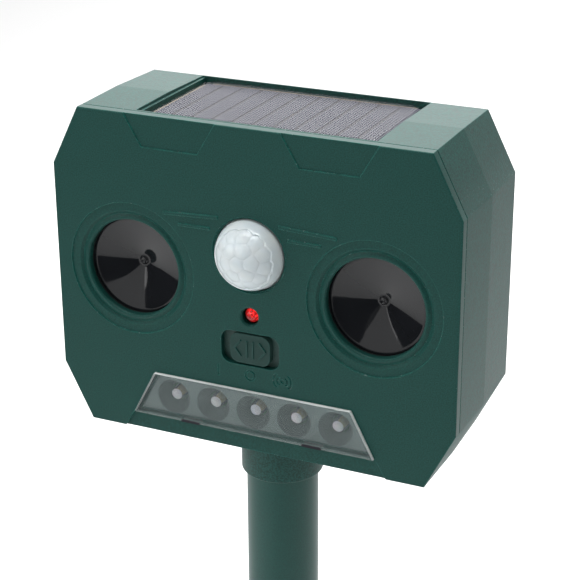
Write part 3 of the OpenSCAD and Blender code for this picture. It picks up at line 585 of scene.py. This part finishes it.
DOME_SINK = 2.5
DOME_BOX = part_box("pir_lens")
DOME_R = (FACE_Y - DOME_BOX[0].y) / MM + DOME_SINK
DOME_SKIN = 0.8
LENS_RINGS = [(0.0, 1, 0.0), (24.5, 6, 8.0), (48.0, 12, 23.0)]
RIM_RING = (70.5, 18, 12.0)
SMOOTH_TILT = 74


def ring_directions(tilt, count, start):
    """Unit vectors spaced evenly round the pole, at a tilt from it."""
    a = math.radians(tilt)
    turns = [math.radians(start + 360 * k / count) for k in range(count)]
    return [Vector((math.sin(a) * math.cos(t), math.sin(a) * math.sin(t), math.cos(a))) for t in turns]


LENSES = [direction for ring in LENS_RINGS for direction in ring_directions(*ring)]
RIM = ring_directions(*RIM_RING)


def facet_depth(radius, depth, turn):
    """How far a point of the dome sinks, in mm: small domed lenses set a little below a smooth rim."""
    tilt = math.atan2(radius, DOME_SINK - depth)
    if math.degrees(tilt) > SMOOTH_TILT:
        return 0.0
    here = Vector((math.sin(tilt) * math.cos(turn), math.sin(tilt) * math.sin(turn), math.cos(tilt)))
    lenses = sorted(here.angle(direction) * DOME_R for direction in LENSES)[:2]
    rim = min(here.angle(direction) for direction in RIM) * DOME_R
    to_rim = (rim - lenses[0]) / 2
    if to_rim < 0:
        return 0.0
    to_next = (lenses[1] - lenses[0]) / 2
    step = 0.20 * min(1.0, to_rim / 0.22)
    crown = 0.27 * min(1.0, lenses[0] / 2.8) ** 2
    groove = 0.05 * max(0.0, 1 - to_next / 0.25)
    return step + crown + groove


def dome_point(radius, depth, turn):
    on_outside = abs(math.hypot(radius, DOME_SINK - depth) - DOME_R) < 0.01 and depth < DOME_SINK
    if not on_outside:
        return radius, depth
    shrink = 1 - facet_depth(radius, depth, turn) / DOME_R
    return radius * shrink, DOME_SINK - (DOME_SINK - depth) * shrink


def make_dome():
    flange_r = (DOME_BOX[1].x - DOME_BOX[0].x) / 2 / MM
    flange_y = (DOME_BOX[1].y - FACE_Y) / MM
    inner_r = DOME_R - DOME_SKIN
    profile = arc(0, DOME_SINK, DOME_R, 0, 89, 120)
    profile += [(flange_r, flange_y - 0.8), (flange_r, flange_y), (inner_r, flange_y)]
    profile += arc(0, DOME_SINK, inner_r, 90, 0, 16)
    dome = lathe("sensor_dome", profile, 0, centre("pir_lens").z, 240, dome_point)
    settle(dome, "pir_lens")


# ---------------------------------------------------------------- speakers

# Each film is turned from (radius, depth) points in mm: a pressed hub, a slightly bowed wall, then a flat rim and
# the back, which nothing shows.
CONE_HUB = [(0, 8.45), (0.35, 8.4), (0.7, 8.15), (1.0, 8.1), (1.3, 8.3), (1.6, 8.65), (2.1, 8.75)]
CONE_BACK = [(16.4, 4.0), (17.0, 4.05), (17.1, 4.2), (17.1, 4.6), (16.2, 4.6), (2.2, 9.4), (1.6, 9.6),
             (1.6, 10.4), (0, 10.4)]
WALL_RUN, WALL_RISE, WALL_BOW, WALL_STEPS = 13.9, 4.75, 0.12, 40


def make_cone(side, node):
    middle = centre(node)
    hub_r, hub_depth = CONE_HUB[-1]
    wall = []
    for i in range(1, WALL_STEPS + 1):
        t = i / WALL_STEPS
        wall.append((hub_r + WALL_RUN * t, hub_depth - WALL_RISE * t - WALL_BOW * math.sin(math.pi * t)))
    cone = lathe("cone_film_" + side, CONE_HUB + wall + CONE_BACK, middle.x, middle.z, 144)
    settle(cone, node)


# ---------------------------------------------------------------- lamps and indicator

# A 5 mm round lamp, in mm: its body, its flange, the lens seen from in front, and its two legs.
LAMP_R, FLANGE_R, FLANGE_T, LENS_R = 2.5, 2.9, 0.9, 1.9
LEG_PITCH, LEG_W = 2.54, 0.44
FLASH_FLANGE, INDICATOR_FLANGE = 10.1, 8.5


def lamp_profile(tip, flange):
    """A round-nosed lamp body from its tip to the back of its flange, in mm."""
    back = flange + FLANGE_T
    nose = arc(0, tip + LAMP_R, LAMP_R, 0, 90, 14)
    return nose + [(LAMP_R, flange), (FLANGE_R - 0.15, flange), (FLANGE_R, flange + 0.12), (FLANGE_R, back),
                   (0, back)]


def join(pieces, name):
    """One object from several, keeping their materials."""
    bpy.ops.object.select_all(action="DESELECT")
    for piece in pieces:
        piece.select_set(True)
    bpy.context.view_layer.objects.active = pieces[0]
    bpy.ops.object.join()
    pieces[0].name = name
    return pieces[0]


def legs(name, x, z, flange, end):
    """The two square legs behind a lamp, from the back of its flange to depth end in mm."""
    start = flange + FLANGE_T
    bm = bmesh.new()
    for side in (-1, 1):
        low = Vector((x + (LEG_PITCH * side - LEG_W) / 2 * MM, FACE_Y + start * MM, z - LEG_W / 2 * MM))
        size = Vector((LEG_W * MM, (end - start) * MM, LEG_W * MM))
        for vertex in bmesh.ops.create_cube(bm, size=1.0)["verts"]:
            vertex.co = low + Vector((size[i] * (vertex.co[i] + 0.5) for i in range(3)))
    return with_material(new_piece(name, bm), "contact_nickel")


def with_material(piece, material):
    piece.data.materials.append(MATERIALS[material])
    return piece


def lens_zones(body, x, z):
    """A lamp is pale over its lens, partly its own white and partly a painted highlight, warm on the upper right
    beside the lens where the phosphor shows, partly a painted warm glint, and grey elsewhere.
    """
    for material in ("lamp_white", "lamp_body", "lamp_phosphor"):
        body.data.materials.append(MATERIALS[material])
    for face in body.data.polygons:
        across, up = face.center.x - x, face.center.z - z
        if math.hypot(across, up) > LENS_R * MM:
            # Upper right outside the lens: the phosphor's tint with a painted warm glint. Elsewhere: the grey
            # body.
            face.material_index = 2 if across > 0 and up > 0 else 1
    return body


def make_lamps():
    low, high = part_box("lamp_leds")
    row = (low.z + high.z) / 2
    tip, foot = (low.y - FACE_Y) / MM, (high.y - FACE_Y) / MM
    count = 5
    pitch = (high.x - low.x - 2 * FLANGE_R * MM) / (count - 1)
    parts = []
    for k in range(count):
        x = (k - (count - 1) / 2) * pitch
        body = lathe(f"lamp_body_{k}", lamp_profile(tip, FLASH_FLANGE), x, row, 48)
        parts += [lens_zones(body, x, row), legs(f"lamp_legs_{k}", x, row, FLASH_FLANGE, foot)]
    stand_for(join(parts, "flash_lamps"), "lamp_leds")


def make_indicator():
    low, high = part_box("indicator_led")
    tip, foot = (low.y - FACE_Y) / MM, (high.y - FACE_Y) / MM
    z = centre("indicator_led").z
    body = with_material(lathe("indicator_body", lamp_profile(tip, INDICATOR_FLANGE), 0, z, 64), "led_red")
    pins = legs("indicator_legs", 0, z, INDICATOR_FLANGE, foot)
    stand_for(join([body, pins], "indicator_lamp"), "indicator_led")


# ---------------------------------------------------------------- solar panel

def box_faces(bm, low, high, material, chamfer):
    """A slab with its four upper edges cut at 45 degrees."""
    c = chamfer
    rings = [(low.x, low.y, high.x, high.y, low.z), (low.x, low.y, high.x, high.y, high.z - c),
             (low.x + c, low.y + c, high.x - c, high.y - c, high.z)]
    rows = []
    for x0, y0, x1, y1, z in rings:
        rows.append([bm.verts.new(p) for p in ((x0, y0, z), (x1, y0, z), (x1, y1, z), (x0, y1, z))])
    faces = [bm.faces.new(rows[0][::-1]), bm.faces.new(rows[2])]
    for a, b in zip(rows, rows[1:]):
        faces += [bm.faces.new((a[k], a[(k + 1) % 4], b[(k + 1) % 4], b[k])) for k in range(4)]
    for face in faces:
        face.material_index = material


def make_cells():
    """Dark strips with silver finger lines, which stay clear of the resin's underside."""
    low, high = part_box("solar_cells")
    count, width = 11, 5.9 * MM
    pitch = (high.x - low.x - width) / (count - 1)
    fingers, finger_w, finger_gap = 6, 0.23 * MM, 1.04 * MM
    finger_rise, finger_clearance, finger_inset = 0.08 * MM, 0.03 * MM, 0.5 * MM
    bm = bmesh.new()
    for k in range(count):
        x = low.x + k * pitch
        top = high.z - finger_rise
        box_faces(bm, Vector((x, low.y, low.z)), Vector((x + width, high.y, top)), 0, 0.05 * MM)
        for f in range(fingers):
            middle = x + width / 2 + (f - (fingers - 1) / 2) * finger_gap
            start = Vector((middle - finger_w / 2, low.y + finger_inset, top + 0.002 * MM))
            end = Vector((middle + finger_w / 2, high.y - finger_inset, high.z - finger_clearance))
            box_faces(bm, start, end, 1, 0.02 * MM)
    settle(new_piece("cell_strips", bm), "solar_cells", "cell_silicon", "finger_silver")


def make_resin():
    """Cast resin with a slightly ragged border and a rounded shoulder."""
    low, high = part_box("solar_resin")
    inset, corner, steps, raggedness = 0.5 * MM, 3.2 * MM, 46, 420
    corners = [(low.x, low.y), (high.x, low.y), (high.x, high.y - corner), (high.x - corner, high.y),
               (low.x + corner, high.y), (low.x, high.y - corner)]
    outline = []
    for (ax, ay), (bx, by) in zip(corners, corners[1:] + corners[:1]):
        outline += [(ax + (bx - ax) * i / steps, ay + (by - ay) * i / steps) for i in range(steps)]
    middle = (low + high) / 2
    bm = bmesh.new()
    rows = []
    levels = [(0.0, 0.0), (0.0, 0.55), (0.2, 0.85), (0.7, 1.0), (1.6, 0.97)]
    for step, share in levels:
        row = []
        for x, y in outline:
            wander = inset * (0.5 + 0.5 * noise.noise(Vector((x, y, 0)) * raggedness))
            reach = Vector((x - middle.x, y - middle.y, 0))
            shrink = 1 - (wander + step * MM) / max(reach.length, MM)
            row.append(bm.verts.new((middle.x + reach.x * shrink, middle.y + reach.y * shrink,
                                     low.z + (high.z - low.z) * share)))
        rows.append(row)
    for a, b in zip(rows, rows[1:]):
        for k in range(len(a)):
            n = (k + 1) % len(a)
            bm.faces.new((a[k], a[n], b[n], b[k]))
    bm.faces.new(rows[0][::-1])
    bm.faces.new(rows[-1])
    settle(new_piece("panel_cast_resin", bm), "solar_resin")


def print_board_face():
    """The board's printed face is dark inside a cut border that stays beige."""
    board = bpy.data.objects["solar_board_moulded"]
    board.data.materials.append(MATERIALS["panel_face"])
    low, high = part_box("solar_board")
    bm = bmesh.new()
    bm.from_mesh(board.data)
    printed = [face for face in bm.faces
               if face.normal.z > 0.9 and face.calc_area() > 0.2 * (high.x - low.x) * (high.y - low.y)]
    bmesh.ops.inset_region(bm, faces=printed, thickness=0.5 * MM)
    for face in printed:
        face.material_index = 1
    bm.to_mesh(board.data)
    bm.free()


# ---------------------------------------------------------------- second materials and the lamp window

def recolour(piece, material, chosen):
    """Gives the faces whose middle is chosen a second material."""
    mesh = bpy.data.objects[piece].data
    mesh.materials.append(MATERIALS[material])
    for face in mesh.polygons:
        if chosen(face.center):
            face.material_index = 1


def shade_regions():
    """The reflector's cups are darker than its plate as painted shade in these recesses, the slider's plate is
    lighter than its pad as painted light, and the housing is finer and duller in front of its crest."""
    reflector_plate_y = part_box("lamp_reflector")[0].y + 0.3 * MM
    slider_pad_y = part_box("switch_slider")[0].y + 1.2 * MM
    # Faces deeper than the reflector's plate, its recessed cups, are darkened as painted shade.
    recolour("lamp_reflector_moulded", "cup_grey", lambda middle: middle.y > reflector_plate_y)
    # The slider's plate below its pad is lightened as painted light.
    recolour("switch_slider_moulded", "plate_green", lambda middle: middle.y > slider_pad_y)
    recolour("rear_housing_moulded", "housing_front_green", lambda middle: middle.y < CREST_Y)


def make_window():
    """Clear, with a painted highlight on its upper and right edges, a hazy lower edge and dark boxes as painted
    shadow in its latch slots.
    """
    window = refined("lamp_window", 0.22)
    for material in ("window_edge", "window_haze", "slot_shadow"):
        window.data.materials.append(MATERIALS[material])
    haze_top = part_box("lamp_window")[0].z + 2 * MM
    for face in window.data.polygons:
        if abs(face.normal.y) >= 0.9:
            continue
        if face.center.z < haze_top:
            face.material_index = 2
        # Faces slanting up or right take a pale painted highlight.
        elif face.normal.z > 0.3 or face.normal.x > 0.3:
            face.material_index = 1
    add_slots(window)


def add_slots(window):
    """Dark boxes in the window's lower edge, over the notches in its back: painted shadow in its latch slots."""
    low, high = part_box("lamp_window")
    notches = [vertex.co for vertex in NODES["lamp_window"].data.vertices
               if vertex.co.y > high.y - 0.1 * MM and low.z + 0.1 * MM < vertex.co.z < low.z + MM]
    bm = bmesh.new()
    bm.from_mesh(window.data)
    for side in (-1, 1):
        xs = [point.x for point in notches if point.x * side > 0 and abs(point.x) < high.x / 1.5]
        box_faces(bm, Vector((min(xs), low.y - 0.01 * MM, low.z + 0.05 * MM)),
                  Vector((max(xs), low.y + 0.3 * MM, low.z + 1.05 * MM)), 3, 0.1 * MM)
    bm.to_mesh(window.data)
    bm.free()


# ---------------------------------------------------------------- what stays as the CAD made it

def dress(node):
    shown = NODES[node]
    for material_slot in shown.material_slots:
        material_slot.link = "OBJECT"
        material_slot.material = MATERIALS[SLOT_OF[node]]


MOULDED = {
    "front_cover": 0.14, "rear_housing": 0.2, "battery_door": 0.2, "switch_slider": 0.14, "lamp_reflector": 0.12,
    "stake_upper_tube": 0.2, "stake_lower_tube": 0.2, "ground_spike": 0.3, "solar_board": 0.08,
    "housing_screws": 0.15, "pir_sensor": 0.12,
}
OUTLINES = {
    "front_cover": {"outline": 1.1, "outline_y": FACE_Y},
    "rear_housing": {"outline": 0.7, "outline_y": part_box("rear_housing")[1].y, "crease": CREST_Y},
}
for part, edge_width in MOULDED.items():
    refined(part, edge_width, **OUTLINES.get(part, {}))
make_dome()
make_cone("left", "speaker_cone_left")
make_cone("right", "speaker_cone_right")
make_lamps()
make_indicator()
make_cells()
make_resin()
print_board_face()
shade_regions()
make_window()
REPLACED = set(MOULDED) | {"pir_lens", "speaker_cone_left", "speaker_cone_right", "lamp_leds", "indicator_led",
                           "solar_cells", "solar_resin", "lamp_window"}
for part in NODES:
    if part not in REPLACED:
        dress(part)


# ---------------------------------------------------------------- floor, light and camera

def make_floor():
    drop = 0.5 * MM
    g = Graph("studio_floor")
    soft = g.noise(0.8, 2.0)
    g.surface(Base_Color=g.mix(soft, (0.90, 0.90, 0.90, 1), (0.93, 0.93, 0.93, 1)), Roughness=0.9,
              Specular_IOR_Level=0.1)
    mesh = bpy.data.meshes.new("studio_floor")
    reach = 6.0
    z = CAD_BOX[0].z - drop
    mesh.from_pydata([(-reach, -reach, z), (reach, -reach, z), (reach, reach, z), (-reach, reach, z)], [],
                     [(0, 1, 2, 3)])
    floor = bpy.data.objects.new("studio_floor", mesh)
    floor.data.materials.append(g.material)
    SCENE.collection.objects.link(floor)


def make_world():
    """A pale studio: bright behind and above the object, dimmer in front of it."""
    world = bpy.data.worlds.new("studio")
    world.use_nodes = True
    SCENE.world = world
    tree = world.node_tree
    background = tree.nodes["Background"]
    background.inputs["Color"].default_value = (1, 1, 1, 1)
    axes = tree.nodes.new("ShaderNodeSeparateXYZ")
    tree.links.new(tree.nodes.new("ShaderNodeTexCoord").outputs["Generated"], axes.inputs[0])

    def ramp(axis, *limits):
        node = tree.nodes.new("ShaderNodeMapRange")
        tree.links.new(axes.outputs[axis], node.inputs["Value"])
        for key, value in zip(("From Min", "From Max", "To Min", "To Max"), limits):
            node.inputs[key].default_value = value
        return node.outputs["Result"]

    total = tree.nodes.new("ShaderNodeMath")
    total.operation = "ADD"
    tree.links.new(ramp("Y", -0.2, 0.6, 0.20, 0.7), total.inputs[0])
    tree.links.new(ramp("Z", 0.2, 1.0, 0.0, 0.15), total.inputs[1])
    seen = tree.nodes.new("ShaderNodeLightPath")
    pick = tree.nodes.new("ShaderNodeMix")
    tree.links.new(seen.outputs["Is Camera Ray"], pick.inputs["Factor"])
    tree.links.new(total.outputs[0], pick.inputs["A"])
    pick.inputs["B"].default_value = 1.1
    tree.links.new(pick.outputs["Result"], background.inputs["Strength"])


def area_light(name, place, aim, size, power):
    """A soft square light at place, turned towards aim."""
    data = bpy.data.lights.new(name, "AREA")
    data.size = size
    data.energy = power
    light = bpy.data.objects.new(name, data)
    light.location = place
    light.rotation_euler = (aim - place).to_track_quat("-Z", "Y").to_euler()
    SCENE.collection.objects.link(light)


SOFT_BOXES = [
    ("top_soft_box", (0.0, 0.1, 1.0), 0.8, 14),
    ("back_soft_box", (-0.75, 1.1, 0.66), 1.3, 10),
    ("left_soft_box", (-1.0, -0.8, 0.5), 0.9, 5.6),
    ("low_soft_box", (-0.45, -1.25, 0.2), 0.8, 1.6),
    ("spark_light", (-0.25, -0.9, 0.75), 0.05, 0.8),
]


def make_lights():
    """Lights round the head, given by name, place from the head, size and power, and one over the floor behind."""
    for name, offset, size, power in SOFT_BOXES:
        area_light(name, HEAD + Vector(offset), HEAD, size, power)
    area_light("backdrop_light", Vector((0.0, 2.2, 1.6)), Vector((0.0, 2.2, 0.0)), 2.4, 40)


def make_flags():
    """Black studio flags in front of the object. Only glossy surfaces see them, as dark shapes in the cones."""
    g = Graph("flag_black")
    g.surface(Base_Color=g.mix(g.noise(20.0), (0.004, 0.004, 0.004, 1), (0.01, 0.01, 0.011, 1)), Roughness=1.0,
              Specular_IOR_Level=0.0)
    for name, azimuths, elevations in (("flag_right", (-4, 34), (-26, 7)), ("flag_left", (-66, -34), (-16, 9))):
        corners = []
        for a, e in ((0, 0), (1, 0), (1, 1), (0, 1)):
            turn, rise = math.radians(azimuths[a]), math.radians(elevations[e])
            corners.append(HEAD + Vector((math.sin(turn), -math.cos(turn), math.tan(rise))))
        mesh = bpy.data.meshes.new(name)
        mesh.from_pydata(corners, [], [(0, 1, 2, 3)])
        flag = bpy.data.objects.new(name, mesh)
        flag.data.materials.append(g.material)
        for kind in ("camera", "diffuse", "transmission", "volume_scatter", "shadow"):
            setattr(flag, "visible_" + kind, False)
        SCENE.collection.objects.link(flag)


def make_camera():
    azimuth, elevation, roll = math.radians(24.75), math.radians(22.38), math.radians(-0.28)
    distance = 0.5506
    aim = HEAD + Vector((11.8, -18.7, 1.9)) * MM
    back = Vector((math.sin(azimuth) * math.cos(elevation), -math.cos(azimuth) * math.cos(elevation),
                   math.sin(elevation)))
    data = bpy.data.cameras.new("camera")
    data.lens = 104.6
    data.sensor_width = 36.0
    data.clip_start = 0.01
    camera = bpy.data.objects.new("camera", data)
    camera.location = aim + distance * back
    facing = (-back).to_track_quat("-Z", "Y")
    camera.rotation_euler = (facing @ Quaternion((0, 0, 1), roll)).to_euler()
    SCENE.collection.objects.link(camera)
    SCENE.camera = camera


make_floor()
make_world()
make_lights()
make_flags()
make_camera()
SCENE.view_settings.view_transform = "Standard"
